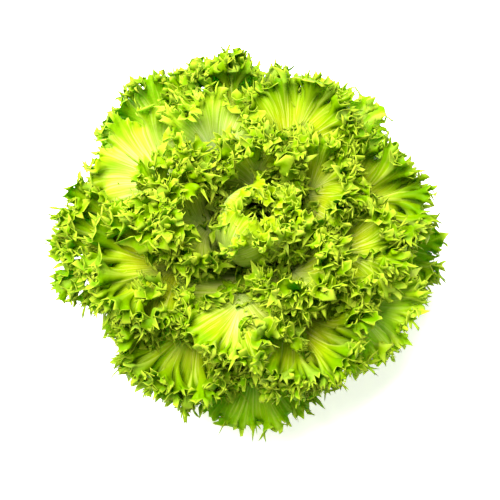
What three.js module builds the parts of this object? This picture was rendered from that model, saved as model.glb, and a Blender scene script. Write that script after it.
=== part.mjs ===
// A head of frilly loose-leaf lettuce, standing on the cut face of its stem.
//
// Units are millimetres and degrees, +Z is up, and the origin is the centre of the stem's cut face.
// Every leaf lies on its own bowl of revolution about the stem's axis. The bowls are nested: each one leaves
// the stem higher up and more steeply than the one before it, so that leaves overlap like those of a real
// rosette and never meet. A leaf is the patch of its bowl inside a fan-shaped, toothed outline, with a
// midrib that is thick at the stem and fades out towards the tip.

import * as THREE from "three";

// Stem.
const STEM_RADIUS = 16; // where the lowest leaf is seated
const STEM_CUT_RADIUS = 14.5; // of the flat cut face that the head stands on
const STEM_FOOT = 8; // height of the lowest leaf's seat above the cut face
const STEM_DOME = 34; // height of the seats' dome above the lowest seat
const STEM_SIDES = 32;
const STEM_STEPS = 8; // rows of facets on the dome

// Leaf stock.
const EDGE_THICKNESS = 0.7; // along the margin
const RIB_HALF_WIDTH = 0.45; // share of the leaf's half width
const RIB_LENGTH = 0.7; // share of the leaf's length
const SEAT_GAP = 0.4; // between the stem and a leaf's base
const TOOTH = 0.055; // how far the margin's teeth stand out, as a share of the leaf's half width
const ROUNDING = 0.27; // share of its length that a leaf loses from the middle of its tip to its corners

// How the bowls open, at places in the sequence from the outermost leaf, 0, to the innermost, 1. A bowl
// leaves the stem at an angle above the horizon, which its bow and then its flare change on the way out:
// both are in degrees at BEND_LENGTH along the leaf, and the flare grows with the square of the way. The
// outer bowls open; from the step between the third place and the fourth on they close over the heart.
const BEND_LENGTH = 100;
const OPENINGS = [
  { order: 0, rise: 24, bow: 4, flare: -24 },
  { order: 0.36, rise: 40, bow: 26, flare: -44 },
  { order: 0.55, rise: 46, bow: 46, flare: -34 },
  { order: 0.57, rise: 46, bow: 78, flare: 6 },
  { order: 0.8, rise: 49, bow: 96, flare: 10 },
  { order: 1, rise: 53, bow: 138, flare: 20 },
];
const TOP_SEAT = 80; // angle round the dome of the innermost seat
const ARC_STEPS = 40; // steps in which a bowl's line is followed

// The slow waves round the rim of the whole rosette.
const SWAY = 7; // height at SWAY_RADIUS
const SWAY_RADIUS = 140;
const SWAY_WAVES = 5;

// Where the leaves stand round the stem, in the order in which they grew.
const FIRST_AZIMUTH = 355;
const GOLDEN_ANGLE = 137.508;
const WRAP_LIMIT = 76; // the furthest that half a leaf reaches round the stem

// The rings of leaves. Lengths and half widths run evenly from the ring's first leaf to its last, base is
// half the width at the stem, rib and blade are the thicknesses at the stem and beyond the midrib, and lean
// is how much longer the leaves are on the side that grew towards the light.
const RINGS = [
  {
    name: "outer_leaf",
    count: 13,
    length: [142, 132],
    halfWidth: [60, 56],
    base: 11.5,
    rib: 2.6,
    blade: 1.2,
    lean: 9,
  },
  {
    name: "middle_leaf",
    count: 11,
    length: [126, 92],
    halfWidth: [54, 42],
    base: 9.5,
    rib: 2.2,
    blade: 1.1,
    lean: 12,
  },
  {
    name: "inner_leaf",
    count: 8,
    length: [88, 64],
    halfWidth: [40, 26],
    base: 7,
    rib: 1.6,
    blade: 0.9,
    lean: 0,
  },
  {
    name: "heart_leaf",
    count: 4,
    length: [54, 38],
    halfWidth: [20, 14],
    base: 3,
    rib: 0.9,
    blade: 0.7,
    lean: 0,
  },
];
const ROWS = 8; // of facets along a leaf
const COLUMNS = 6; // of facets across it
const REACH_VARIATION = 4; // how much longer than its neighbours a leaf may be
const VARIATION_STEP = 2.4; // radians of that variation from one leaf to the next
const LEAN_AZIMUTH = 238; // of the side that grew towards the light

const COLOURS = {
  outer_leaf: 0x9cbf1e,
  middle_leaf: 0xa8cc22,
  inner_leaf: 0xbbdb3c,
  heart_leaf: 0xd6e87a,
  stem: 0xe4edc0,
};

const radians = THREE.MathUtils.degToRad;
const lerp = THREE.MathUtils.lerp;
const leafCount = RINGS.reduce((sum, ring) => sum + ring.count, 0);

// The point on the seats' dome, and the direction along it, at a place in the sequence from 0 to 1.
function seat(order) {
  const turn = radians(TOP_SEAT * order);
  return {
    radius: STEM_RADIUS * Math.cos(turn),
    height: STEM_FOOT + STEM_DOME * Math.sin(turn),
    direction: Math.atan2(STEM_DOME * Math.cos(turn), -STEM_RADIUS * Math.sin(turn)),
  };
}

// How the bowl at a place in the sequence opens, between its two neighbours in OPENINGS.
function opening(order) {
  const next = Math.max(
    1,
    OPENINGS.findIndex((stop) => stop.order >= order),
  );
  const [low, high] = [OPENINGS[next - 1], OPENINGS[next]];
  const share = (order - low.order) / (high.order - low.order);
  return {
    rise: radians(lerp(low.rise, high.rise, share)),
    bow: radians(lerp(low.bow, high.bow, share)),
    flare: radians(lerp(low.flare, high.flare, share)),
  };
}

// Radius, height and slope of a bowl at a distance along it from its seat, by following it in short steps.
function bowlPoint(order, along) {
  let { radius, height } = seat(order);
  const { rise, bow, flare } = opening(order);
  const slopeAt = (distance) => rise + (distance / BEND_LENGTH) * (bow + (distance / BEND_LENGTH) * flare);
  const step = along / ARC_STEPS;
  for (let i = 0; i < ARC_STEPS; i += 1) {
    const slope = slopeAt((i + 0.5) * step);
    radius += Math.cos(slope) * step;
    height += Math.sin(slope) * step;
  }
  return { radius, height, slope: slopeAt(along) };
}

// The slow waves that lift and lower the whole rosette together, which keeps the bowls nested.
function sway(radius, azimuth) {
  return SWAY * (radius / SWAY_RADIUS) ** 2 * Math.cos(SWAY_WAVES * azimuth + radius / SWAY_RADIUS);
}

// A point at a height above or below a bowl's own surface.
function bowlVertex(order, along, azimuth, offset) {
  const { radius, height, slope } = bowlPoint(order, along);
  const r = radius - offset * Math.sin(slope);
  const z = height + offset * Math.cos(slope);
  return [r * Math.cos(azimuth), r * Math.sin(azimuth), z + sway(r, azimuth)];
}

// Where a leaf's base starts, so that its thick end clears the stem.
function baseStart(order, rib) {
  const crossing = seat(order).direction - opening(order).rise;
  return (SEAT_GAP + (rib / 2) * Math.abs(Math.cos(crossing))) / Math.sin(crossing);
}

// One leaf: two skins over the same grid of rows and columns, and a wall round them.
function leafGeometry({ order, azimuth, length, halfWidth, base, rib, blade }) {
  const start = baseStart(order, rib);
  const wrap = radians(WRAP_LIMIT);
  const positions = [];
  for (const side of [-1, 1]) {
    for (let row = 0; row <= ROWS; row += 1) {
      for (let column = 0; column <= COLUMNS; column += 1) {
        const u = row / ROWS;
        const v = (2 * column) / COLUMNS - 1;
        const atTip = row === ROWS;
        const atSide = column === 0 || column === COLUMNS;
        const tooth = row > 1 && (atTip || atSide) ? TOOTH * halfWidth * ((row + column) % 2 ? -1 : 1) : 0;
        const corner = 1 - ROUNDING * u * v ** 4;
        const along = start + (length - start) * u * corner + (atTip ? tooth : 0);
        const width = lerp(base, halfWidth, Math.sin((u * Math.PI) / 2)) + (atSide ? tooth : 0);
        const radius = bowlPoint(order, along).radius;
        const around = wrap * Math.tanh(width / (radius * wrap)) * v;
        const ribAcross = Math.max(0, 1 - Math.abs(v) / RIB_HALF_WIDTH);
        const ribAlong = Math.max(0, 1 - u / RIB_LENGTH);
        const inside = row > 0 && (atTip || atSide) ? EDGE_THICKNESS : blade;
        const thickness = inside + (rib - blade) * ribAcross * ribAlong;
        positions.push(...bowlVertex(order, along, azimuth + around, (side * thickness) / 2));
      }
    }
  }
  return new THREE.BufferGeometry()
    .setAttribute("position", new THREE.Float32BufferAttribute(positions, 3))
    .setIndex(shellFaces(ROWS, COLUMNS));
}

// The triangles of a closed shell. The vertices of its lower skin come first, row by row, and then those of
// its upper skin.
function shellFaces(rows, columns) {
  const faces = [];
  const skin = (rows + 1) * (columns + 1);
  const at = (row, column) => row * (columns + 1) + column;
  const quad = (a, b, c, d) => faces.push(a, b, c, a, c, d);
  for (let row = 0; row < rows; row += 1) {
    for (let column = 0; column < columns; column += 1) {
      const corners = [at(row, column), at(row + 1, column), at(row + 1, column + 1), at(row, column + 1)];
      quad(...corners.toReversed());
      quad(...corners.map((corner) => corner + skin));
    }
  }
  const rim = [];
  for (let column = 0; column < columns; column += 1) rim.push(at(0, column));
  for (let row = 0; row < rows; row += 1) rim.push(at(row, columns));
  for (let column = columns; column > 0; column -= 1) rim.push(at(rows, column));
  for (let row = rows; row > 0; row -= 1) rim.push(at(row, 0));
  rim.forEach((corner, i) => {
    const next = rim[(i + 1) % rim.length];
    quad(corner, corner + skin, next + skin, next);
  });
  return faces;
}

// The stem: a stub with a flat cut face, closed by the dome on which the leaves are seated.
function stemGeometry() {
  const profile = [new THREE.Vector2(0, 0), new THREE.Vector2(STEM_CUT_RADIUS, 0)];
  for (let step = 0; step < STEM_STEPS; step += 1) {
    const turn = ((Math.PI / 2) * step) / STEM_STEPS;
    profile.push(
      new THREE.Vector2(STEM_RADIUS * Math.cos(turn), STEM_FOOT + STEM_DOME * Math.sin(turn)),
    );
  }
  profile.push(new THREE.Vector2(0, STEM_FOOT + STEM_DOME));
  return new THREE.LatheGeometry(profile, STEM_SIDES).rotateX(Math.PI / 2);
}

function part(name, geometry, colour) {
  geometry.computeVertexNormals();
  const material = new THREE.MeshStandardMaterial({ color: colour, roughness: 0.45, metalness: 0 });
  const mesh = new THREE.Mesh(geometry, material);
  mesh.name = name;
  return mesh;
}

// How much longer than its ring's rule a leaf is: a little more or less each time, and more on the lit side.
function reachBias(grown, azimuth, lean) {
  const fading = 1 - grown / (leafCount - 1);
  const variation = REACH_VARIATION * fading * Math.sin(VARIATION_STEP * grown);
  return variation + lean * Math.cos(azimuth - radians(LEAN_AZIMUTH));
}

const head = new THREE.Group();
head.add(part("stem", stemGeometry(), COLOURS.stem));

let grown = 0;
for (const ring of RINGS) {
  for (let i = 0; i < ring.count; i += 1) {
    const share = i / (ring.count - 1);
    const order = grown / (leafCount - 1);
    const azimuth = radians(FIRST_AZIMUTH + GOLDEN_ANGLE * grown);
    const leaf = {
      order,
      azimuth,
      length: lerp(...ring.length, share) + reachBias(grown, azimuth, ring.lean),
      halfWidth: lerp(...ring.halfWidth, share),
      base: ring.base,
      rib: ring.rib,
      blade: ring.blade,
    };
    const name = `${ring.name}_${String(i + 1).padStart(2, "0")}`;
    head.add(part(name, leafGeometry(leaf), COLOURS[ring.name]));
    grown += 1;
  }
}

export default head;
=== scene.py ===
"""The looks of a head of frilly loose-leaf lettuce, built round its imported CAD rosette.

Every leaf of the rosette is a CAD solid on a bowl of revolution. This script reads each solid's midrib from
the frame and grows a real leaf along it: a fan-shaped blade whose rays run from the midrib to the margin,
a margin that is far too long for its blade and so falls into ruffles upon ruffles, and pointed lobes and
teeth along it. Lengths are in metres.
"""

import logging
import math
from collections.abc import Sequence
from dataclasses import dataclass, field, replace
from enum import Enum

import bpy
import numpy as np
from mathutils import Matrix, Vector

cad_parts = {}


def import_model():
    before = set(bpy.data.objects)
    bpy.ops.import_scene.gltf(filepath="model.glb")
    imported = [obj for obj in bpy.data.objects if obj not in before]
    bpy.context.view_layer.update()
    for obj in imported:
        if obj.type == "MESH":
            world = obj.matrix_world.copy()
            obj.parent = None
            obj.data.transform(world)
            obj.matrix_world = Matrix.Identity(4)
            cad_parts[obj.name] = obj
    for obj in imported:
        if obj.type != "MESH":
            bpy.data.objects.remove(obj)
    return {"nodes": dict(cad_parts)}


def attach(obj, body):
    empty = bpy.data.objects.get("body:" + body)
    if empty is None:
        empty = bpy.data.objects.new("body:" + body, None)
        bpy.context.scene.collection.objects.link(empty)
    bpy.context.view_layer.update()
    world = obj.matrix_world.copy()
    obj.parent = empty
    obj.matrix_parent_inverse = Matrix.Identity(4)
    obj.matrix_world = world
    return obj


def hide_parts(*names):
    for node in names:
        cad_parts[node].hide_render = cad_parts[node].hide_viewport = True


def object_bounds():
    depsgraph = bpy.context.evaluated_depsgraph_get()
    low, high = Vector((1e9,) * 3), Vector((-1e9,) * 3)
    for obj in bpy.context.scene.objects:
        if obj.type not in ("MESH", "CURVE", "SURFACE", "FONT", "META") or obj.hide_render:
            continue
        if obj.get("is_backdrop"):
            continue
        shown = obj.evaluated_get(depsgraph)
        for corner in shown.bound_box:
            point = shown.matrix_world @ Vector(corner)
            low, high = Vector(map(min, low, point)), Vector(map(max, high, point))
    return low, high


LOG = logging.getLogger("lettuce")
MM = 0.001
Colour = tuple[float, float, float]
BODY = "root"
STEM = "stem"
MIDDLE_HEIGHT = 60 * MM  # of the point of the head that the camera and the lamp face


class Ring(Enum):
    """The four rings of leaves, by the first part of their nodes' names."""

    OUTER = "outer_leaf"
    MIDDLE = "middle_leaf"
    INNER = "inner_leaf"
    HEART = "heart_leaf"


@dataclass(frozen=True)
class Wave:
    """One size of ruffle along a leaf's margin.

    Args:
        length: from crest to crest along the flat margin.
        height: of a crest above the blade, at the margin.
        depth: how far the ruffle reaches into the blade.
        lean: how far the crests fold over sideways, as a share of their height.
    """

    length: float
    height: float
    depth: float
    lean: float


@dataclass(frozen=True)
class Habit:
    """How the leaves of one ring grow.

    Args:
        waves: the ruffles, from the longest to the shortest.
        curl: how far the margin rolls up or down.
        tooth: from one tooth to the next along the ruffled margin.
        tooth_depth: how far a tooth stands out of its lobe.
        lobe_depth: how far a lobe stands out beyond the sinus between two lobes.
        teeth: number of teeth on a lobe.
        coil: the most that a lobe curls up or down on its way out, in radians.
        sag: height of the blade's slow undulations.
        looseness: how far the leaf may tilt and fold out of its bowl, from 0 to 1.
        rib: thickness of the midrib at the stem.
        blade: thickness of the blade.
    """

    waves: tuple[Wave, ...]
    curl: float
    tooth: float
    tooth_depth: float
    lobe_depth: float
    teeth: int
    coil: float
    sag: float
    looseness: float
    rib: float
    blade: float


CLOSED = Habit(
    waves=(
        Wave(26 * MM, 6.5 * MM, 14 * MM, 0.35),
        Wave(13 * MM, 4.5 * MM, 10 * MM, 0.5),
        Wave(7 * MM, 1.8 * MM, 5 * MM, 0.5),
    ),
    curl=3 * MM,
    tooth=3.4 * MM,
    tooth_depth=7.5 * MM,
    lobe_depth=3.0 * MM,
    teeth=4,
    coil=1.6,
    sag=3.0 * MM,
    looseness=0.3,
    rib=2.2 * MM,
    blade=0.75 * MM,
)
LOOSE = Habit(
    waves=(
        Wave(31 * MM, 10.5 * MM, 27 * MM, 0.35),
        Wave(16 * MM, 6.5 * MM, 15 * MM, 0.5),
        Wave(8 * MM, 2.6 * MM, 7 * MM, 0.5),
    ),
    curl=7 * MM,
    tooth=4.0 * MM,
    tooth_depth=9.0 * MM,
    lobe_depth=3.5 * MM,
    teeth=4,
    coil=1.7,
    sag=10 * MM,
    looseness=1.0,
    rib=2.6 * MM,
    blade=0.8 * MM,
)
MIDDLE_WAVES = (
    Wave(30 * MM, 10.5 * MM, 26 * MM, 0.35),
    Wave(15 * MM, 6.5 * MM, 15 * MM, 0.5),
    Wave(8 * MM, 2.6 * MM, 7 * MM, 0.5),
)
HABITS = {
    Ring.OUTER: LOOSE,
    Ring.MIDDLE: replace(LOOSE, waves=MIDDLE_WAVES, sag=8 * MM, rib=2.2 * MM, blade=0.75 * MM),
    Ring.INNER: Habit(
        waves=(
            Wave(20 * MM, 4.0 * MM, 9 * MM, 0.35),
            Wave(10 * MM, 3.0 * MM, 7 * MM, 0.5),
        ),
        curl=3 * MM,
        tooth=2.8 * MM,
        tooth_depth=4.5 * MM,
        lobe_depth=2.2 * MM,
        teeth=4,
        coil=1.4,
        sag=1.0 * MM,
        looseness=0.1,
        rib=1.6 * MM,
        blade=0.7 * MM,
    ),
    Ring.HEART: Habit(
        waves=(
            Wave(15 * MM, 2.4 * MM, 9 * MM, 0.3),
            Wave(7 * MM, 1.4 * MM, 5 * MM, 0.4),
        ),
        curl=2 * MM,
        tooth=4 * MM,
        tooth_depth=4 * MM,
        lobe_depth=2 * MM,
        teeth=3,
        coil=1.0,
        sag=0.5 * MM,
        looseness=0.0,
        rib=0.9 * MM,
        blade=0.6 * MM,
    ),
}


@dataclass(frozen=True)
class Nature:
    """How one leaf differs from the others of its ring.

    Args:
        temper: size of its ruffles, as a share of its ring's.
        blanch: share of its length over which it is pale.
        fold: how steeply its halves rise from the midrib, or None to leave that to chance.
        painted_light: whether it has the paler, brighter skin that paints light on a leaf the lamp leaves in
            shade.
    """

    temper: float = 1.0
    blanch: float = 0.75
    fold: float | None = None
    painted_light: bool = False


# The leaves whose Nature turns on the brighter skin get painted light on them.
NATURES = {
    "outer_leaf_01": Nature(temper=0.8, blanch=0.5),
    "outer_leaf_02": Nature(temper=0.75, blanch=1.15),
    "outer_leaf_03": Nature(temper=0.6, blanch=0.9, fold=0.03),
    "outer_leaf_04": Nature(temper=0.7, blanch=1.3, painted_light=True),
    "outer_leaf_05": Nature(temper=1.2),
    "outer_leaf_06": Nature(temper=0.8, blanch=1.3, painted_light=True),
    "outer_leaf_07": Nature(temper=1.25),
    "outer_leaf_08": Nature(temper=1.4, blanch=0.5),
    "outer_leaf_09": Nature(temper=1.25),
    "outer_leaf_10": Nature(temper=0.65, blanch=1.3, painted_light=True),
    "outer_leaf_11": Nature(temper=1.35),
    "outer_leaf_12": Nature(temper=1.1),
    "outer_leaf_13": Nature(temper=1.45, blanch=0.45),
    "middle_leaf_01": Nature(temper=0.9, blanch=0.8),
    "middle_leaf_02": Nature(temper=0.55, blanch=1.6, fold=0.02, painted_light=True),
    "middle_leaf_03": Nature(temper=1.05, blanch=1.0, fold=0.1),
    "middle_leaf_05": Nature(temper=1.2),
    "middle_leaf_06": Nature(temper=1.2),
    "middle_leaf_08": Nature(temper=0.45, blanch=0.9, painted_light=True),
    "middle_leaf_09": Nature(temper=1.2, blanch=0.9, painted_light=True),
    "middle_leaf_10": Nature(temper=0.5, blanch=0.9, painted_light=True),
    "middle_leaf_11": Nature(temper=1.1, blanch=0.9, painted_light=True),
}


def unit(vectors: np.ndarray) -> np.ndarray:
    """The same vectors at length 1."""
    return vectors / np.maximum(np.linalg.norm(vectors, axis=-1, keepdims=True), 1e-12)


def ease(share: np.ndarray) -> np.ndarray:
    """A smooth step from 0 to 1."""
    share = np.clip(share, 0.0, 1.0)
    return share * share * (3.0 - 2.0 * share)


def wander(along: np.ndarray, spacing: float, dice: np.random.Generator) -> np.ndarray:
    """A smooth random line from -1 to 1.

    Args:
        along: where to read it, from 0 up.
        spacing: distance between its random values.
        dice: the seeded source of those values.

    Returns:
        Its value at each place.
    """
    stops = int(np.max(along) / spacing) + 4
    values = dice.uniform(-1.0, 1.0, stops)
    place = along / spacing + 1.0
    low = np.floor(place).astype(int)
    share = ease(place - low)
    return values[low] * (1.0 - share) + values[low + 1] * share


def travelled(line: np.ndarray) -> np.ndarray:
    """The distance covered along a line of points at each of them."""
    return np.concatenate([[0.0], np.cumsum(np.linalg.norm(np.diff(line, axis=0), axis=1))])


def between(values: np.ndarray, columns: np.ndarray) -> np.ndarray:
    """A grid's values at places between its columns.

    Args:
        values: rows by columns, with or without components.
        columns: column numbers, whole or not.

    Returns:
        The values at those columns.
    """
    low = np.clip(np.floor(columns).astype(int), 0, values.shape[1] - 2)
    share = columns - low
    share = share.reshape(1, -1, *[1] * (values.ndim - 2))
    return values[:, low] * (1.0 - share) + values[:, low + 1] * share


@dataclass(frozen=True)
class CadLeaf:
    """A leaf's place in the rosette, read from its CAD solid.

    Args:
        name: the node's name.
        ring: the ring it stands in.
        azimuth: its direction round the stem.
        reach: polynomials in the distance along the midrib, for its radius and its height.
        length: of the midrib.
        half_width: of the blade at its widest.
        base: half the width at the stem.
    """

    name: str
    ring: Ring
    azimuth: float
    reach: tuple[np.ndarray, np.ndarray]
    length: float
    half_width: float
    base: float

    # The rosette's slow waves: their height at a radius, and how many there are round the stem.
    SWAY = 7 * MM
    SWAY_RADIUS = 140 * MM
    SWAY_WAVES = 5
    # The most that a leaf wraps round the stem to each side, and the radius that its wrap is never under.
    WRAP = math.radians(76)
    WRAP_RADIUS = 2 * MM
    # The midrib's polynomials, the wedge of points taken for it, and how near its start the base is.
    FIT_DEGREE = 5
    RIB_WEDGE = math.radians(0.6)
    BASE_DEPTH = 3 * MM
    # A leaf whose tip comes this near the axis, as a share of its length, closes over the heart.
    CLOSED_SHARE = 0.3

    @classmethod
    def read(cls, name: str, node: bpy.types.Object) -> "CadLeaf":
        """Finds the midrib, the direction and the width of a leaf's solid.

        Args:
            name: the node's name.
            node: its object in the frame.

        Returns:
            The leaf's place.
        """
        points = np.array([v.co for v in node.data.vertices], float).reshape(-1, 3)
        points = np.unique(np.round(points, 6), axis=0)
        toward = unit(points[:, :2]).sum(axis=0)
        azimuth = math.atan2(toward[1], toward[0])
        radial = points[:, 0] * math.cos(azimuth) + points[:, 1] * math.sin(azimuth)
        across = points[:, 1] * math.cos(azimuth) - points[:, 0] * math.sin(azimuth)
        turned = np.arctan2(across, radial)
        rib = np.stack([radial, points[:, 2]], axis=1)[np.abs(turned) < cls.RIB_WEDGE]
        foot = rib[np.argmin(rib[:, 1])]
        chord = unit(rib[np.argmax(np.abs(rib - foot).sum(axis=1))] - foot)
        rib = rib[np.argsort(rib @ chord)]
        rib = (rib[0::2] + rib[1::2]) / 2.0
        along = travelled(rib)
        degree = min(cls.FIT_DEGREE, len(along) - 1)
        fits = (np.polyfit(along, rib[:, 0], degree), np.polyfit(along, rib[:, 1], degree))
        radius = np.hypot(points[:, 0], points[:, 1])
        near = np.linalg.norm(np.stack([radius, points[:, 2]], axis=1) - rib[0], axis=1) < cls.BASE_DEPTH
        arc = radius * np.abs(turned)
        return cls(
            name=name,
            ring=Ring(name.rsplit("_", 1)[0]),
            azimuth=azimuth,
            reach=fits,
            length=float(along[-1]),
            half_width=float(arc.max()),
            base=float(arc[near].max()),
        )

    @property
    def closed(self) -> bool:
        """Whether the leaf closes over the heart of the head."""
        return float(np.polyval(self.reach[0], self.length)) < self.CLOSED_SHARE * self.length

    def sway(self, radius: np.ndarray, azimuth: np.ndarray) -> np.ndarray:
        """The height of the rosette's slow waves at a place."""
        share = radius / self.SWAY_RADIUS
        return self.SWAY * share**2 * np.cos(self.SWAY_WAVES * azimuth + share)

    def place(self, across: np.ndarray, along: np.ndarray, lift: np.ndarray) -> np.ndarray:
        """Points on or off the leaf's bowl.

        Args:
            across: distance to the left of the midrib, on the flat leaf.
            along: distance from the stem, on the flat leaf.
            lift: height above the bowl's surface.

        Returns:
            The points, in the row frame.
        """
        radius_fit, height_fit = self.reach
        inside = np.clip(along, 0.0, self.length)
        past = along - inside
        radius = np.polyval(radius_fit, inside)
        height = np.polyval(height_fit, inside)
        out = np.polyval(np.polyder(radius_fit), inside)
        up = np.polyval(np.polyder(height_fit), inside)
        size = np.hypot(out, up)
        out, up = out / size, up / size
        radius = radius + past * out
        height = height + past * up
        turn = self.WRAP * np.tanh(across / (np.maximum(radius, self.WRAP_RADIUS) * self.WRAP))
        azimuth = self.azimuth + turn
        height = height + self.sway(radius, azimuth) - self.sway(radius, np.float64(self.azimuth))
        r = radius - lift * up
        return np.stack([r * np.cos(azimuth), r * np.sin(azimuth), height + lift * out], axis=-1)


@dataclass
class LeafMesh:
    """Grows one leaf's mesh on its place in the rosette.

    Args:
        cad: the leaf's place.
        habit: how its ring grows.
        nature: how it differs from the others of its ring.
        seed: of everything random on it.
        fine_columns: how finely the margin is followed while it is ruffled.
        tooth_columns: columns of the finished mesh on each tooth.
        rows: from the midrib to the smooth margin.
        body_rows: from the smooth margin to the feet of the teeth.
        spike_rows: from there to the teeth's tips.
        strides: columns skipped on the mesh's rows, with the row that each stride ends before.
        row_ease: how much closer together the rows are near the margin.
        widest: where the leaf is widest, as a share of its length.
        spine: where the last vein leaves the midrib, as a share of the leaf's length.
        parallel: how far neighbouring lobes point the same way, from 0 to 1.
    """

    cad: CadLeaf
    habit: Habit
    nature: Nature
    seed: int
    fine_columns: int = 1600
    tooth_columns: int = 4
    rows: int = 20
    body_rows: int = 2
    spike_rows: int = 3
    strides: tuple[tuple[int, int], ...] = ((11, 16), (15, 8), (18, 4), (22, 2))
    row_ease: float = 1.5
    widest: float = 0.66
    spine: float = 0.6
    parallel: float = 0.7
    dice: np.random.Generator = field(init=False)
    points: np.ndarray = field(init=False)
    awake: np.ndarray = field(init=False)
    thickness: np.ndarray = field(init=False)
    follows: dict[str, np.ndarray] = field(init=False)
    lobes: int = field(init=False)
    columns: int = field(init=False)

    # The outline: how much of a tooth and its lobe stands inside the CAD leaf at the tip, and of that at
    # the sides, how roundly it widens and closes, and the points on each of its parts.
    STAND_TIP = 0.6
    STAND_SIDE = 0.5
    FLANK_POWER = 1.15
    CROWN_POWER = 0.85
    OUTLINE_POINTS = 400
    # Its unevenness: the size as a share of a lobe's depth, the spacing, and the even stretch at each end.
    UNEVEN = 0.5
    UNEVEN_SPACING = 16 * MM
    UNEVEN_ENDS = 40 * MM
    # The rays: how their starts close up towards the tip, and where they bend, as shares of the way across
    # and along to the margin.
    START_POWER = 1.2
    BEND_ACROSS = 0.34
    BEND_ALONG = 0.62
    # The least share of a ray's length that counts as distance from the margin.
    LEAST_SQUARE = 0.35
    # The share of the margin at each end that falls asleep, and the share of the half width where the slow
    # undulations set in, with their spacing.
    CALM_ENDS = 0.14
    SLOW_START = 0.5
    SLOW_SPACING = 42 * MM
    # Slopes: the most that a leaf tilts to one side, and the least and most that its halves rise.
    MOST_TILT = 0.12
    FOLDS = (-0.02, 0.24)
    # The margin's roll: its spacing, and how far it draws the margin in.
    ROLL_SPACING = 30 * MM
    ROLL_IN = 0.5
    # The ruffles: how fast they fade inland, how high and how uneven their crests are, how far the crests
    # stray along the margin, slant inland and lean out, and the spacing of each change, in crests.
    FADE_POWER = 1.5
    LIVELY = 0.8
    LIVELY_RANGE = 0.45
    LIVELY_SPACING = 1.7
    STRAY = 1.5
    STRAY_SPACING = 1.4
    SLANT = 0.5
    SLANT_SPACING = 3
    LEAN_OUT = 0.6
    LEAN_SPACING = 2.3
    # The number of lobes is a multiple of this, so that every stride divides the columns.
    LOBE_GROUP = 8
    # The teeth: how far their widths and their peaks' places vary, how rounded the lobes and how sharp the
    # teeth are, the share that is left of them where the margin sleeps, how far their sizes vary, the share
    # of their height in the gaps between lobes, and their least height.
    WIDTH_RANGE = 0.6
    PEAK_RANGE = 0.6
    LOBE_POWER = 0.7
    TOOTH_POWER = 2.2
    ASLEEP = 0.06
    LOBE_RANGE = 0.7
    TOOTH_RANGE = 0.6
    GAP_SHARE = 0.5
    LEAST_STEP = 0.1 * MM
    # How lobes and teeth curl and swerve: the size of each change, and its spacing in teeth.
    COIL = 0.9
    COIL_SPACING = 3.5
    FLICK = 0.9
    FLICK_SPACING = 2.5
    FLICK_EACH = 0.35
    HOOK = 0.7
    HOOK_SPACING = 3.0
    SWEEP = 0.7
    HEADING = 0.35
    SWEEP_SPACING = 4.0
    # The midrib: half its width as a share of the leaf's base, how much it narrows, and where it fades out.
    RIB_WIDTH = 0.9
    RIB_TAPER = 0.55
    RIB_END = 1.15
    # The green margin's depth, as a share of the half width.
    GREEN_DEPTH = 0.62
    # The blade's thickness at its margin, the depth over which it thins, and that of the teeth's rows.
    THIN_SHARE = 0.55
    THIN_DEPTH = 10 * MM
    SPIKE_THINS = (0.9, 0.45)
    # How far the painted rim light on the tips has set in on the first and the last row of the lobes.
    RIM_LIGHT_SHARES = (0.15, 1.0)

    def __post_init__(self) -> None:
        """Seeds the leaf's own dice."""
        self.dice = np.random.default_rng(self.seed)

    def outline(self) -> np.ndarray:
        """The flat leaf's margin, evenly spaced.

        Returns:
            Its points, from the left of the leaf's base round the tip to the right.
        """
        size = self.cad
        stand = self.STAND_TIP * (self.habit.lobe_depth + self.habit.tooth_depth)
        margin = size.length - stand
        width = size.half_width - self.STAND_SIDE * stand
        turn = np.linspace(0.0, np.pi / 2, self.OUTLINE_POINTS)
        rise = self.widest * margin
        sides = size.base + (width - size.base) * np.sin(turn) ** self.FLANK_POWER
        flank = [sides, rise * turn / turn[-1]]
        crown = [width * np.cos(turn) ** self.CROWN_POWER, rise + (margin - rise) * np.sin(turn)]
        half = np.concatenate([np.stack(flank, axis=1), np.stack(crown, axis=1)[1:]])
        whole = np.concatenate([half * [-1, 1], half[::-1][1:]])
        way = travelled(whole)
        even = np.linspace(0.0, way[-1], self.fine_columns + 1)
        line = np.stack([np.interp(even, way, whole[:, k]) for k in (0, 1)], axis=1)
        tangent = unit(np.gradient(line, axis=0))
        away = np.stack([-tangent[:, 1], tangent[:, 0]], axis=1)
        uneven = self.UNEVEN * self.habit.lobe_depth * wander(even, self.UNEVEN_SPACING, self.dice)
        uneven = uneven * ease(even / self.UNEVEN_ENDS) * ease((way[-1] - even) / self.UNEVEN_ENDS)
        return line + away * uneven[:, None]

    def flat(self) -> np.ndarray:
        """The flat leaf's grid, whose columns are rays that leave the midrib and bend out to the margin.

        Returns:
            Distances across and along the flat leaf, by row and column.
        """
        margin = self.outline()
        share = np.linspace(0.0, 1.0, self.fine_columns + 1)
        tipward = 1.0 - np.abs(2.0 * share - 1.0)
        rise = self.spine * self.cad.length * tipward**self.START_POWER
        start = np.stack([np.zeros_like(share), rise], axis=1)
        across = self.BEND_ACROSS * margin[:, 0]
        bend = np.stack([across, start[:, 1] + self.BEND_ALONG * (margin[:, 1] - start[:, 1])], axis=1)
        ray = 1.0 - (1.0 - np.linspace(0.0, 1.0, self.rows + 1)) ** self.row_ease
        a, b, c = ((1 - ray) ** 2, 2 * ray * (1 - ray), ray**2)
        return a[:, None, None] * start + b[:, None, None] * bend + c[:, None, None] * margin

    def frames(self, points: np.ndarray) -> tuple[np.ndarray, np.ndarray, np.ndarray]:
        """The surface's own directions at each grid point.

        Args:
            points: the surface.

        Returns:
            Directions along the margin, up from the surface, and out across the margin.
        """
        along = unit(np.gradient(points, axis=1))
        outward = np.gradient(points, axis=0)
        up = unit(np.cross(outward, along))
        out = unit(np.cross(along, up))
        return along, up, out

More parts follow.
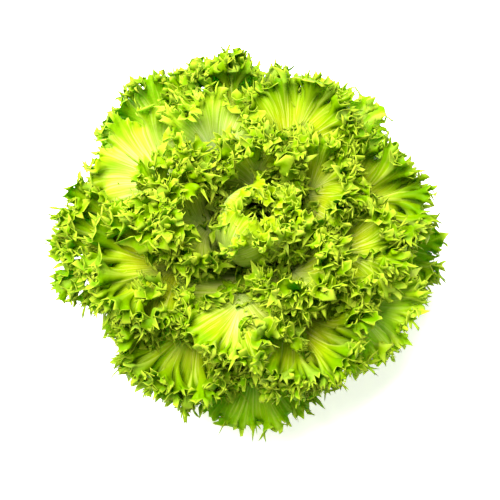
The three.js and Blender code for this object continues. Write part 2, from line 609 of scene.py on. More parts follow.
    def inland(self, grid: np.ndarray) -> np.ndarray:
        """How far each point of the flat leaf is from its margin.

        Args:
            grid: the flat leaf.

        Returns:
            The distance, by row and column.
        """
        reach = np.linalg.norm(np.diff(grid, axis=0), axis=2)[::-1].cumsum(axis=0)[::-1]
        reach = np.concatenate([reach, np.zeros((1, reach.shape[1]))])
        tangent = unit(np.gradient(grid[-1], axis=0))
        ray_end = unit(grid[-1] - grid[-3])
        square = np.abs(tangent[:, 0] * ray_end[:, 1] - tangent[:, 1] * ray_end[:, 0])
        return reach * np.maximum(square, self.LEAST_SQUARE)

    def grow(self) -> None:
        """Works out the leaf's middle surface, its thickness and what its colours follow."""
        grid = self.flat()
        across, along = grid[..., 0], grid[..., 1]
        way = travelled(grid[-1])
        inland = self.inland(grid)
        calm = self.CALM_ENDS * way[-1]
        awake = ease(way / calm) * ease((way[-1] - way) / calm)
        sideways = ease(np.abs(across) / (self.SLOW_START * self.cad.half_width))
        outward = ease(along / self.cad.length) * sideways
        slow = wander(way, self.SLOW_SPACING, self.dice)[None, :] * outward
        tilt, fold = self.dice.uniform(-self.MOST_TILT, self.MOST_TILT), self.dice.uniform(*self.FOLDS)
        if self.nature.fold is not None:
            fold = self.nature.fold
        lift = (tilt * across + fold * np.abs(across)) * ease(along / self.cad.length)
        points = self.cad.place(across, along, self.habit.sag * slow + lift * self.habit.looseness)
        points = self.roll(points, inland, awake * wander(way, self.ROLL_SPACING, self.dice))
        temper = self.nature.temper
        for number, wave in enumerate(self.habit.waves):
            wave = replace(wave, height=wave.height * temper, depth=wave.depth * temper)
            points = self.ruffle(points, inland, awake, wave)
            if number == 0:
                broad = self.frames(points)[2][-1:]
        columns = self.spread(points[-1])
        broad = between(broad, columns)[0]
        fan = np.broadcast_to(way / way[-1], inland.shape)
        points, grid, inland, fan = (between(v, columns) for v in (points, grid, inland, fan))
        self.awake = between(awake[None, :], columns)[0]
        self.points = np.concatenate([points, self.lobed(points, broad)])
        self.shade(grid, inland, fan)

    def roll(self, points: np.ndarray, inland: np.ndarray, curl: np.ndarray) -> np.ndarray:
        """Rolls the margin up or down.

        Args:
            points: the surface so far.
            inland: distance from the margin.
            curl: how far, from -1 to 1, along the margin.

        Returns:
            The rolled surface.
        """
        _, up, out = self.frames(points)
        close = np.clip(1.0 - inland / self.habit.waves[0].depth, 0.0, 1.0) ** self.FADE_POWER
        roll = (self.habit.curl * close * curl[None, :])[..., None]
        return points + up * roll - out * np.abs(roll) * close[..., None] * self.ROLL_IN

    def ruffle(
        self, points: np.ndarray, inland: np.ndarray, awake: np.ndarray, wave: Wave
    ) -> np.ndarray:
        """Adds one size of ruffle to the surface, with its crests evenly spaced along the margin so far.

        Args:
            points: the surface so far.
            inland: distance from the margin.
            awake: how much the margin ruffles at all, from 0 to 1.
            wave: the ruffle.

        Returns:
            The ruffled surface.
        """
        way = travelled(points[-1])

        def change(crests: float) -> np.ndarray:
            """A smooth random line from -1 to 1 that changes over so many crests, along the margin."""
            return wander(way, crests * wave.length, self.dice)

        along, up, out = self.frames(points)
        close = np.clip(1.0 - inland / wave.depth, 0.0, 1.0) ** self.FADE_POWER
        lively = awake * (self.LIVELY + self.LIVELY_RANGE * change(self.LIVELY_SPACING))
        phase = 2 * np.pi * way / wave.length + self.STRAY * change(self.STRAY_SPACING)
        slant = change(self.SLANT_SPACING)
        phase = phase[None, :] + self.SLANT * inland / wave.depth * slant[None, :]
        height = (wave.height * close * lively)[..., None]
        tilt = self.LEAN_OUT * change(self.LEAN_SPACING)[None, :, None]
        lift = up * np.cos(tilt) + out * np.sin(tilt)
        folded = wave.lean * along * np.sin(2 * phase)[..., None]
        return points + height * (lift * np.sin(phase)[..., None] - folded)

    def spread(self, margin: np.ndarray) -> np.ndarray:
        """Sets the finished mesh's columns: so many to each tooth, the teeth of uneven widths.

        Args:
            margin: the ruffled margin.

        Returns:
            Where they stand among the fine columns.
        """
        way = travelled(margin)
        groups = round(way[-1] / (self.habit.tooth * self.habit.teeth * self.LOBE_GROUP))
        self.lobes = self.LOBE_GROUP * max(1, groups)
        self.columns = self.lobes * self.habit.teeth * self.tooth_columns
        half = self.fine_columns // 2
        number = np.arange(self.fine_columns + 1)
        left = np.interp(self.uneven() * way[half], way[: half + 1], number[: half + 1])
        right = np.interp(way[half] + self.uneven() * (way[-1] - way[half]), way[half:], number[half:])
        return np.concatenate([left, right[1:]])

    def uneven(self) -> np.ndarray:
        """Spaces half of the columns as teeth of uneven widths.

        Returns:
            Their places, from 0 to 1.
        """
        teeth = self.lobes * self.habit.teeth // 2
        widths = 1.0 + self.WIDTH_RANGE * self.dice.uniform(-1, 1, teeth)
        ends = np.concatenate([[0.0], np.cumsum(widths)]) / widths.sum()
        places = np.arange(teeth * self.tooth_columns + 1) / self.tooth_columns
        return np.interp(places, np.arange(teeth + 1), ends)

    def lobed(self, points: np.ndarray, broad: np.ndarray) -> np.ndarray:
        """The rows beyond the smooth margin, which stand out as lobes and teeth and curl on their way.

        Args:
            points: the surface up to the smooth margin.
            broad: the direction out from the leaf, its finer ruffles left out, at each column.

        Returns:
            The rows.
        """
        t, n, o = (v[-1] for v in self.frames(points))
        o = unit(self.parallel * broad + (1.0 - self.parallel) * o)
        n = unit(n - o * (n * o).sum(axis=1, keepdims=True))
        habit = self.habit
        per_lobe = habit.teeth * self.tooth_columns
        column = np.arange(self.columns + 1)
        lobe_number = np.minimum(column // per_lobe, self.lobes - 1)
        tooth_number = np.minimum(column // self.tooth_columns, self.lobes * habit.teeth - 1)

        def each_lobe() -> np.ndarray:
            """A random number from -1 to 1 for each lobe, at each column."""
            return self.dice.uniform(-1, 1, self.lobes)[lobe_number]

        def each_tooth() -> np.ndarray:
            """A random number from -1 to 1 for each tooth, at each column."""
            return self.dice.uniform(-1, 1, self.lobes * habit.teeth)[tooth_number]

        def drift(teeth: float) -> np.ndarray:
            """A smooth random line from -1 to 1 that changes over so many teeth, at each column."""
            return wander(column / self.tooth_columns, teeth, self.dice)

        lobe_turn = (column % per_lobe) / per_lobe
        tooth_turn = (column % self.tooth_columns) / self.tooth_columns
        tooth_turn = tooth_turn ** np.exp(self.PEAK_RANGE * each_tooth())
        lobe = np.sin(np.pi * lobe_turn) ** self.LOBE_POWER
        tooth = (1.0 - np.abs(2 * tooth_turn - 1.0)) ** self.TOOTH_POWER
        wakeful = self.ASLEEP + (1.0 - self.ASLEEP) * self.awake
        body = habit.lobe_depth * lobe * (1.0 + self.LOBE_RANGE * each_lobe()) * wakeful + self.LEAST_STEP
        spike = habit.tooth_depth * tooth * (1.0 + self.TOOTH_RANGE * each_tooth())
        spike = spike * (self.GAP_SHARE + (1.0 - self.GAP_SHARE) * lobe) * wakeful + self.LEAST_STEP
        coil = habit.coil * self.COIL * drift(self.COIL_SPACING)
        flick = habit.coil * (self.FLICK * drift(self.FLICK_SPACING) + self.FLICK_EACH * each_tooth())
        hook = self.HOOK * drift(self.HOOK_SPACING) + self.HOOK * each_tooth()
        sweep = self.SWEEP * drift(self.SWEEP_SPACING)
        heading = self.HEADING * drift(self.SWEEP_SPACING)
        rows, place = [], points[-1]
        for row in range(self.lobe_rows):
            if row < self.body_rows:
                step, turn = body / self.body_rows, coil / self.body_rows
                aside = sweep * step
            else:
                step, turn = spike / self.spike_rows, flick / self.spike_rows
                aside = hook * step * (row - self.body_rows) / self.spike_rows
            heading = heading + turn
            ahead = o * np.cos(heading)[:, None] + n * np.sin(heading)[:, None]
            place = place + ahead * step[:, None] + t * aside[:, None]
            rows.append(place)
        return np.array(rows)

    @property
    def lobe_rows(self) -> int:
        """Rows beyond the smooth margin."""
        return self.body_rows + self.spike_rows

    def shade(self, grid: np.ndarray, inland: np.ndarray, fan: np.ndarray) -> None:
        """Sets what the leaf's colours follow, and its thickness, at each grid point.

        Args:
            grid: the flat leaf.
            inland: distance from the margin.
            fan: place round the margin, from 0 to 1.
        """
        across = np.abs(grid[..., 0])
        along = grid[..., 1] / self.cad.length
        width = self.cad.base * self.RIB_WIDTH * (1.0 - self.RIB_TAPER * along)
        rib = np.exp(-((across / width) ** 2)) * np.clip(self.RIB_END - along, 0, 1)
        pale = np.clip(1.0 - along / self.nature.blanch, 0.0, 1.0)
        green = ease(1.0 - inland / (self.GREEN_DEPTH * self.cad.half_width))
        thick = self.habit.blade + (self.habit.rib - self.habit.blade) * rib * np.clip(1 - along, 0, 1)
        thick = thick * (self.THIN_SHARE + (1.0 - self.THIN_SHARE) * ease(inland / self.THIN_DEPTH))
        self.thickness = self.beyond(thick)
        self.thickness[-self.spike_rows :] *= np.linspace(*self.SPIKE_THINS, self.spike_rows)[:, None]
        # The tip rows carry the painted rim light: a pale colour on the lobes and teeth that stands in for
        # light shining through their thin edges.
        tip = np.zeros_like(self.thickness)
        tip[-self.lobe_rows :] = np.linspace(*self.RIM_LIGHT_SHARES, self.lobe_rows)[:, None]
        kinds = {"rib": np.clip(rib, 0, 1), "pale": pale, "green": green, "fan": fan}
        self.follows = {name: self.beyond(values) for name, values in kinds.items()} | {"tip": tip}

    def beyond(self, values: np.ndarray) -> np.ndarray:
        """The values of the smooth margin carried on over the lobes."""
        return np.concatenate([values, np.repeat(values[-1:], self.lobe_rows, axis=0)])

    def faces(self, index: np.ndarray) -> np.ndarray:
        """The faces between the grid's rows, with fewer columns on the rows near the midrib.

        The halves of the first row share their edges along the midrib, so each square there is cut into
        triangles, by the other diagonal on the other half, and no edge lies twice in one place.

        Args:
            index: the vertex at each row and column.

        Returns:
            Four corners for each face, the last two the same on a triangle.
        """
        rows = len(index)
        stride = np.ones(rows, int)
        for end, step in reversed(self.strides):
            stride[:end] = step
        made = []
        for row in range(rows - 1):
            near, far = stride[row], stride[row + 1]
            a, d = index[row, :-near:near], index[row, near::near]
            b, c = index[row + 1, :-near:near], index[row + 1, near::near]
            if row == 0:
                left = np.arange(len(a)) < len(a) // 2
                third, first = np.where(left, d, c), np.where(left, b, a)
                made.append(np.stack([a, b, third, third], axis=-1))
                made.append(np.stack([first, c, d, d], axis=-1))
            elif near == far:
                made.append(np.stack([a, b, c, d], axis=-1))
            else:
                middle = index[row + 1, far::near]
                made.append(np.stack([a, b, middle, middle], axis=-1))
                made.append(np.stack([a, middle, d, d], axis=-1))
                made.append(np.stack([d, middle, c, c], axis=-1))
        return np.concatenate(made)

    def build(self) -> bpy.types.Object:
        """Makes the closed mesh: two skins over the grid, joined along the midrib and round the margin.

        Returns:
            The linked leaf, without a material.
        """
        self.grow()
        rows, columns = self.points.shape[:2]
        _, up, _ = self.frames(self.points)
        points, half = self.points.copy(), self.thickness / 2.0
        for line in (points, up, half):
            line[0] = (line[0] + line[0][::-1]) / 2.0
        up = unit(up)
        index = np.arange(rows * columns).reshape(rows, columns)
        middle = (columns - 1) // 2
        index[0, middle + 1 :] = index[0, : columns - middle - 1][::-1]
        skin = rows * columns
        made = self.faces(index)
        rim = np.concatenate([index[:, 0], index[-1, 1:], index[::-1, -1][1:]])
        wall = np.stack([rim[:-1], rim[1:], rim[1:] + skin, rim[:-1] + skin], axis=-1)
        faces = np.concatenate([made[:, ::-1], made + skin, wall])
        upper = points + up * half[..., None]
        lower = points - up * half[..., None]
        vertices = np.concatenate([lower.reshape(-1, 3), upper.reshape(-1, 3)])
        values = {name: np.tile(grid.reshape(-1), 2) for name, grid in self.follows.items()}
        return solid(self.cad.name + "_frilled", vertices, faces, values)


def solid(
    name: str, vertices: np.ndarray, faces: np.ndarray, values: dict[str, np.ndarray]
) -> bpy.types.Object:
    """A mesh object from arrays, with the vertices that no face uses left out.

    Args:
        name: of the object.
        vertices: their places.
        faces: four corners each; a corner named twice makes a triangle.
        values: number attributes by name, one value for each vertex.

    Returns:
        The linked object.
    """
    keep = faces != np.roll(faces, 1, axis=1)
    sizes = keep.sum(axis=1)
    whole = sizes >= 3
    faces, keep, sizes = faces[whole], keep[whole], sizes[whole]
    used, loops = np.unique(faces[keep], return_inverse=True)
    mesh = bpy.data.meshes.new(name)
    mesh.vertices.add(len(used))
    mesh.vertices.foreach_set("co", vertices[used].reshape(-1).astype(np.float32))
    mesh.loops.add(len(loops))
    mesh.loops.foreach_set("vertex_index", loops.astype(np.int32))
    mesh.polygons.add(len(sizes))
    starts = np.concatenate([[0], np.cumsum(sizes)[:-1]])
    mesh.polygons.foreach_set("loop_start", starts.astype(np.int32))
    mesh.polygons.foreach_set("use_smooth", [True] * len(sizes))
    for key, value in values.items():
        layer = mesh.attributes.new(key, "FLOAT", "POINT")
        layer.data.foreach_set("value", value[used].astype(np.float32))
    mesh.update(calc_edges=True)
    mesh.validate()
    made = bpy.data.objects.new(name, mesh)
    bpy.context.scene.collection.objects.link(made)
    return made


class Socket:
    """A node's output that Python's own arithmetic can be used on."""

    def __init__(self, tree: "Graph", socket: bpy.types.NodeSocket) -> None:
        """Wraps a socket of a tree."""
        self.tree = tree
        self.socket = socket

    def _maths(self, operation: str, *values: object) -> "Socket":
        """A Math node on this socket's tree."""
        return self.tree.node("ShaderNodeMath", {"operation": operation}, dict(enumerate(values)))

    def __add__(self, other: object) -> "Socket":
        """Sum."""
        return self._maths("ADD", self, other)

    __radd__ = __add__

    def __sub__(self, other: object) -> "Socket":
        """Difference."""
        return self._maths("SUBTRACT", self, other)

    def __rsub__(self, other: object) -> "Socket":
        """Difference the other way round."""
        return self._maths("SUBTRACT", other, self)

    def __mul__(self, other: object) -> "Socket":
        """Product."""
        return self._maths("MULTIPLY", self, other)

    __rmul__ = __mul__

    def __truediv__(self, other: object) -> "Socket":
        """Quotient."""
        return self._maths("DIVIDE", self, other)

    def __rtruediv__(self, other: object) -> "Socket":
        """Quotient the other way round."""
        return self._maths("DIVIDE", other, self)

    def cosine(self) -> "Socket":
        """Cosine of an angle."""
        return self._maths("COSINE", self)

    def sine(self) -> "Socket":
        """Sine of an angle."""
        return self._maths("SINE", self)


class Graph:
    """A node tree written as expressions."""

    def __init__(self, tree: bpy.types.NodeTree) -> None:
        """Starts with the tree emptied.

        Args:
            tree: to add the nodes to.
        """
        self.nodes = tree.nodes
        self.links = tree.links
        self.nodes.clear()

    def node(
        self,
        kind: str,
        settings: dict[str, object] | None = None,
        values: dict[object, object] | None = None,
        output: object = 0,
    ) -> Socket:
        """Adds any node.

        Args:
            kind: its type.
            settings: its own properties, set first.
            values: numbers, colours or sockets by input name or place.
            output: the output to return, by name or place.

        Returns:
            That output.
        """
        made = self.nodes.new(kind)
        for key, value in (settings or {}).items():
            setattr(made, key, value)
        for key, value in (values or {}).items():
            if isinstance(value, Socket):
                self.links.new(value.socket, made.inputs[key])
            else:
                made.inputs[key].default_value = value
        return Socket(self, made.outputs[output])


class Shader(Graph):
    """A material's node tree."""

    def __init__(self, name: str) -> None:
        """Starts an empty material.

        Args:
            name: of the material.
        """
        self.material = bpy.data.materials.new(name)
        self.material.use_nodes = True
        super().__init__(self.material.node_tree)

    def surface(self, shader: Socket) -> bpy.types.Material:
        """Ends the tree with a shader, and gives the material."""
        self.links.new(shader.socket, self.nodes.new("ShaderNodeOutputMaterial").inputs["Surface"])
        return self.material

    def value(self, name: str) -> Socket:
        """One of the piece's own number attributes."""
        return self.node("ShaderNodeAttribute", {"attribute_name": name}, output="Fac")

    def mix(self, share: object, first: object, second: object, blend: str = "MIX") -> Socket:
        """A mix of two colours.

        Args:
            share: of the second, from 0 to 1.
            first: colour or socket.
            second: colour or socket.
            blend: how the second is laid over the first.

        Returns:
            The mixed colour.
        """
        return self.node(
            "ShaderNodeMix",
            {"data_type": "RGBA", "blend_type": blend},
            {"Factor": share, 6: first, 7: second},
            output=2,
        )

    def noise(self, scale: float, detail: float = 2.0, stretch: Sequence[float] = (1, 1, 1)) -> Socket:
        """Noise on the piece's Object coordinates.

        Args:
            scale: number of its features in a metre.
            detail: octaves of finer noise in it.
            stretch: how densely it lies along each axis, as a share of the scale.

        Returns:
            The noise, about 0.5.
        """
        place = self.node("ShaderNodeTexCoord", output="Object")
        place = self.node("ShaderNodeMapping", None, {"Vector": place, "Scale": tuple(stretch)})
        return self.node("ShaderNodeTexNoise", None, {"Vector": place, "Scale": scale, "Detail": detail})

    def streaks(self, across: Socket, along: Socket, layer: float) -> Socket:
        """Noise on two of the piece's own attributes.

        Args:
            across: the first, as features.
            along: the second, as features.
            layer: which of its endless patterns.

        Returns:
            The noise, about 0.5.
        """
        place = self.node("ShaderNodeCombineXYZ", None, {0: across, 1: along, 2: layer})
        return self.node("ShaderNodeTexNoise", None, {"Vector": place, "Scale": 1.0, "Detail": 2.0})

    def bump(self, distance: float, relief: Socket) -> Socket:
        """Small relief that only the light sees.

        Args:
            distance: height of the relief.
            relief: its shape, from 0 to 1.

        Returns:
            The directions that the surface seems to face.
        """
        return self.node("ShaderNodeBump", None, {"Strength": 0.5, "Distance": distance, "Height": relief})

    def span(self, value: Socket, low: float, high: float, to: tuple[float, float] = (0, 1)) -> Socket:
        """A value moved from one span to another, and kept inside it.

        Args:
            value: the value.
            low: start of its span.
            high: end of its span.
            to: the other span.

        Returns:
            The moved value.
        """
        return self.node(
            "ShaderNodeMapRange",
            {"clamp": True},
            {"Value": value, "From Min": low, "From Max": high, "To Min": to[0], "To Max": to[1]},
        )


@dataclass(frozen=True)
class LeafSkin:
    """The waxy, translucent skin of one kind of leaf.

    Args:
        name: of the kind.
        frill: colour of the frilled margin.
        blade: colour of the blade between its veins.
        rib: colour of the midrib and the blade's foot.
        painted_rim_light: painted rim light on the tips of the lobes and teeth, standing in for light that
            shines through their thin edges.
        glow: colour of the light that comes through.
        veins: number of coarse veins across the leaf.
        through: share of the light that comes through.
        roughness: of the smoothest spots.
        rougher: how much rougher the mottled spots are.
        gloss: strength of the skin's reflections.
        furrow: tint of the hollows between veins.
        mottle: tint of the darker spots.
        fine: number of fine veins to each coarse one.
        mottles: number of spots in a metre.
        grain: number of the relief's finest features in a metre.
        relief: height of the veins' relief.
    """

    name: str
    frill: Colour
    blade: Colour
    rib: Colour
    painted_rim_light: Colour
    glow: Colour
    veins: int = 120
    through: float = 0.38
    roughness: float = 0.34
    rougher: float = 0.12
    gloss: float = 0.06
    furrow: Colour = (0.55, 0.74, 0.12)
    mottle: Colour = (0.60, 0.78, 0.35)
    fine: float = 2.3
    mottles: float = 60.0
    grain: float = 260.0
    relief: float = 0.6 * MM

    # The veins: features along a leaf's pale part, the span of noise that makes them, and their share.
    COARSE_ALONG = 2.0
    FINE_ALONG = 5.0
    FINE_LAYER = 4.0
    COARSE_SPAN = (0.42, 0.62)
    FINE_SPAN = (0.4, 0.62)
    VEIN_SHARE = 0.55
    # The paleness: what the stem and the midrib give, its span, and how much of it the green margin takes.
    PALE_SHARE = 0.9
    RIB_SHARE = 0.7
    PALE_SPAN = (0.15, 0.95)
    GREEN_TAKES = 0.92
    # Where a furrow ends and a vein's pale ridge starts, and the ridge's share, less on the green margin.
    FURROW_END = 0.8
    FURROW_LEAST = 0.1
    RIDGE_SPAN = (0.55, 1.1)
    RIDGE_SHARE = 0.6
    RIDGE_GREEN = 0.7
    # The spots' span of noise and share, and the span and share of the painted rim light on the tips.
    MOTTLE_SPAN = (0.35, 0.68)
    MOTTLE_SHARE = 0.55
    RIM_LIGHT_START = 0.3
    RIM_LIGHT_SHARE = 0.5
    # What the veins and the grain give to the relief, and how strongly light bends in the skin.
    VEIN_RELIEF = 0.7
    GRAIN_RELIEF = 0.25
    IOR = 1.38

    def build(self) -> bpy.types.Material:
        """Makes the material.

        Returns:
            The material.
        """
        s = Shader(self.name + "_skin")
        fan, pale, green, rib, tip = (s.value(n) for n in ("fan", "pale", "green", "rib", "tip"))
        coarse = s.streaks(fan * self.veins, pale * self.COARSE_ALONG, 0.0)
        fine = s.streaks(fan * (self.fine * self.veins), pale * self.FINE_ALONG, self.FINE_LAYER)
        coarse = s.span(coarse, *self.COARSE_SPAN) * self.VEIN_SHARE
        vein = coarse + s.span(fine, *self.FINE_SPAN) * self.VEIN_SHARE
        mottle = s.span(s.noise(self.mottles, 3.0), *self.MOTTLE_SPAN)
        colour = s.mix(green, (*self.blade, 1), (*self.frill, 1))
        paleness = s.span(pale * self.PALE_SHARE + rib * self.RIB_SHARE, *self.PALE_SPAN)
        paleness = paleness * (1.0 - self.GREEN_TAKES * green)
        colour = s.mix(paleness, colour, (*self.rib, 1))
        furrow = s.mix(1.0, colour, (*self.furrow, 1), "MULTIPLY")
        raised = s.span(vein, 0.0, self.FURROW_END) * (1.0 - self.FURROW_LEAST) + self.FURROW_LEAST
        colour = s.mix(raised, furrow, colour)
        ridge = s.span(vein, *self.RIDGE_SPAN) * (1.0 - self.RIDGE_GREEN * green) * self.RIDGE_SHARE
        colour = s.mix(ridge, colour, (*self.rib, 1))
        darker = s.mix(1.0, colour, (*self.mottle, 1), "MULTIPLY")
        colour = s.mix(mottle * self.MOTTLE_SHARE, colour, darker)
        # Painted rim light: the tips of the lobes and teeth are mixed towards a pale colour that stands in
        # for light shining through them.
        colour = s.mix(s.span(tip, self.RIM_LIGHT_START, 1.0) * self.RIM_LIGHT_SHARE, colour, (*self.painted_rim_light, 1))
        relief = vein * self.VEIN_RELIEF + s.noise(self.grain, 2.0) * self.GRAIN_RELIEF
        bump = s.bump(self.relief, relief)
        body = s.node(
            "ShaderNodeBsdfPrincipled",
            None,
            {
                "Base Color": colour,
                "Roughness": s.span(mottle, 0, 1, (self.roughness, self.roughness + self.rougher)),
                "IOR": self.IOR,
                "Specular IOR Level": self.gloss,
                "Normal": bump,
            },
        )
        light = s.node("ShaderNodeBsdfTranslucent", None, {"Color": (*self.glow, 1)})
        both = s.node("ShaderNodeMixShader", None, {0: self.through, 1: body, 2: light})
        return s.surface(both)


# In each skin, the colour given for the tips of the lobes and teeth is painted rim light.
SKINS = {
    Ring.OUTER: LeafSkin(
        name="outer_leaf",
        frill=(0.23, 0.37, 0.0),
        blade=(0.56, 0.56, 0.008),
        rib=(0.78, 0.79, 0.26),
        painted_rim_light=(0.67, 0.68, 0.05),
        glow=(0.12, 0.55, 0.0),
    ),
    Ring.MIDDLE: LeafSkin(
        name="middle_leaf",
        frill=(0.29, 0.42, 0.0),
        blade=(0.60, 0.60, 0.010),
        rib=(0.80, 0.81, 0.28),
        painted_rim_light=(0.70, 0.70, 0.06),
        glow=(0.14, 0.60, 0.0),
    ),
    Ring.INNER: LeafSkin(
        name="inner_leaf",
        frill=(0.42, 0.50, 0.0),
        blade=(0.66, 0.67, 0.01),
        rib=(0.82, 0.82, 0.30),
        painted_rim_light=(0.72, 0.76, 0.08),
        glow=(0.22, 0.66, 0.0),
    ),
    Ring.HEART: LeafSkin(
        name="heart_leaf",
        frill=(0.46, 0.56, 0.005),
        blade=(0.64, 0.68, 0.04),
        rib=(0.78, 0.79, 0.29),
        painted_rim_light=(0.69, 0.73, 0.08),
        glow=(0.35, 0.66, 0.0),
    ),
}
# Painted light: a paler, brighter copy of the inner leaves' skin, for leaves that the lamp leaves in shade,
# so that they look lit.
PAINTED_LIGHT_SKIN = replace(
    SKINS[Ring.INNER],
    name="painted_light_leaf",
    frill=(0.47, 0.56, 0.005),
    blade=(0.73, 0.76, 0.10),
    rib=(0.84, 0.86, 0.40),
    glow=(0.38, 0.72, 0.02),
    through=0.45,
)


@dataclass(frozen=True)
class StemSkin:
    """The stem's pale skin and its cut face, with the ring of veins and the milk dried brown at its edge.

    Args:
        side: colour of the stem's side.
        pith: colour of the cut face.
        ring: colour of the ring of veins, and of the side's streaks.
        dried: colour of the dried milk.
        ring_radius: of the ring of veins.
        ring_width: from its middle to where it has faded.
        stray: how far the rings are out of round.
        relief: height of the skin's relief.
    """

    side: Colour = (0.62, 0.70, 0.30)
    pith: Colour = (0.80, 0.80, 0.55)
    ring: Colour = (0.50, 0.56, 0.20)
    dried: Colour = (0.36, 0.17, 0.06)
    ring_radius: float = 9.5 * MM
    ring_width: float = 1.6 * MM
    stray: float = 2 * MM
    relief: float = 0.5 * MM

    # Features in a metre of the blotches, the streaks and the waver of the rings, and how the streaks lie.
    BLOTCHES = 180.0
    STREAKS = 240.0
    WAVERS = 300.0
    STREAK_STRETCH = (1, 1, 0.15)
    # The spans of blotches that show the ring, the dried edge, the scars and the roughness, with its values.
    RING_BLOTCH = (0.3, 0.6)
    DRIED_BLOTCH = (0.36, 0.6)
    SCAR_BLOTCH = (0.3, 0.55)
    ROUGH_BLOTCH = (0.3, 0.7)
    ROUGHNESS = (0.35, 0.6)
    # Where the dried edge sets in and is full, as shares of the face's radius, and a scar's span.
    DRIED_START = 0.72
    DRIED_FULL = 1.02
    SCAR_SPAN = (0.2, 0.9)
    # The streaks' span and share.
    STREAK_SPAN = (0.35, 0.7)
    STREAK_SHARE = 0.5

    def build(self, face_radius: float) -> bpy.types.Material:
        """Makes the material.

        Args:
            face_radius: radius of the cut face.

        Returns:
            The material.
        """
        s = Shader("stem_skin")
        face = s.value("face")
        place = s.node("ShaderNodeTexCoord", output="Object")
        flat = s.node("ShaderNodeVectorMath", {"operation": "MULTIPLY"}, {0: place, 1: (1, 1, 0)})
        radius = s.node("ShaderNodeVectorMath", {"operation": "LENGTH"}, {0: flat}, output="Value")
        radius = radius + (s.noise(self.WAVERS) - 0.5) * self.stray
        blotch = s.noise(self.BLOTCHES, 4.0)
        low, high = self.ring_radius - self.ring_width, self.ring_radius + self.ring_width
        inside = s.span(radius, low, self.ring_radius)
        past = s.span(radius, self.ring_radius, high)
        ringed = inside * (1.0 - past) * s.span(blotch, *self.RING_BLOTCH)
        colour = s.mix(ringed, (*self.pith, 1), (*self.ring, 1))
        browned = s.span(radius, self.DRIED_START * face_radius, self.DRIED_FULL * face_radius)
        browned = browned * s.span(blotch, *self.DRIED_BLOTCH)
        colour = s.mix(browned, colour, (*self.dried, 1))
        streak = s.noise(self.STREAKS, 3.0, self.STREAK_STRETCH)
        streaked = s.span(streak, *self.STREAK_SPAN) * self.STREAK_SHARE
        side = s.mix(streaked, (*self.side, 1), (*self.ring, 1))
        scarred = s.span(s.value("scar"), *self.SCAR_SPAN) * s.span(blotch, *self.SCAR_BLOTCH)
        side = s.mix(scarred, side, (*self.dried, 1))
        colour = s.mix(face, side, colour)
        bump = s.bump(self.relief, blotch + streak)
        body = s.node(
            "ShaderNodeBsdfPrincipled",
            None,
            {
                "Base Color": colour,
                "Roughness": s.span(blotch, *self.ROUGH_BLOTCH, self.ROUGHNESS),
                "Normal": bump,
            },
        )
        return s.surface(body)


